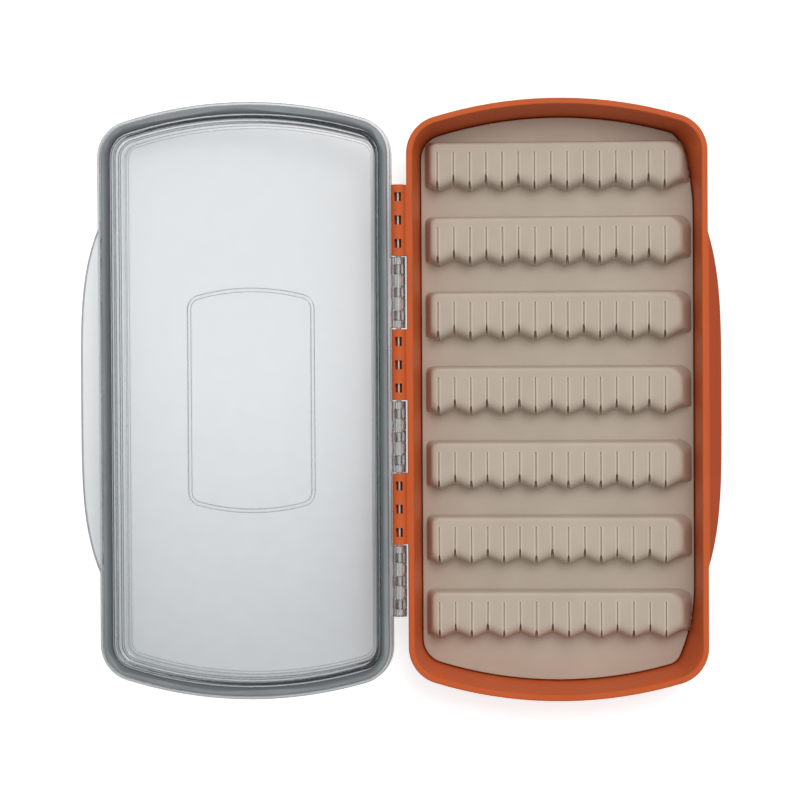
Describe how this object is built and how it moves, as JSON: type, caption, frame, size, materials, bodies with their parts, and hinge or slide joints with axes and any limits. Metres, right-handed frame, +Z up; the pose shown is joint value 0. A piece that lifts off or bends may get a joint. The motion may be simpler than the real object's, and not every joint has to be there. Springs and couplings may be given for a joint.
{
  "type": "fly box",
  "caption": "Fly box lying open: moulded tray with slotted silicone ridges on a mat, clear lid with a seal ring, pinned barrel hinge and finger flanges.",
  "frame": {"origin": "centre of the flat underside of the tray", "axes": "+X from the hinge to the tray's finger flange, +Y along the hinge, +Z up out of the open tray"},
  "size_m": [0.1977, 0.184, 0.0217],
  "materials": {
    "tray_plastic": "burnt orange ABS, fine moulded satin",
    "clear_plastic": "clear polycarbonate with a light smoke tint, polished",
    "seal_rubber": "translucent grey silicone, satin",
    "ridge_silicone": "beige silicone, matt",
    "pin_steel": "drawn steel wire"
  },
  "bodies": {
    "tray": {"base_shell": "tray_plastic", "hinge_pin": "pin_steel", "fly_mat": "ridge_silicone", "slit_ridge_1": "ridge_silicone", "slit_ridge_2": "ridge_silicone", "slit_ridge_3": "ridge_silicone", "slit_ridge_4": "ridge_silicone", "slit_ridge_5": "ridge_silicone", "slit_ridge_6": "ridge_silicone", "slit_ridge_7": "ridge_silicone"},
    "lid": {"lid_shell": "clear_plastic", "lid_gasket": "seal_rubber"}
  },
  "joints": [
    {"name": "lid_hinge", "type": "hinge", "parent": "tray", "child": "lid", "pos_m": [-0.0483, 0, 0.0196], "axis": [0, 1, 0], "range_deg": [0, 184.87]}
  ]
}
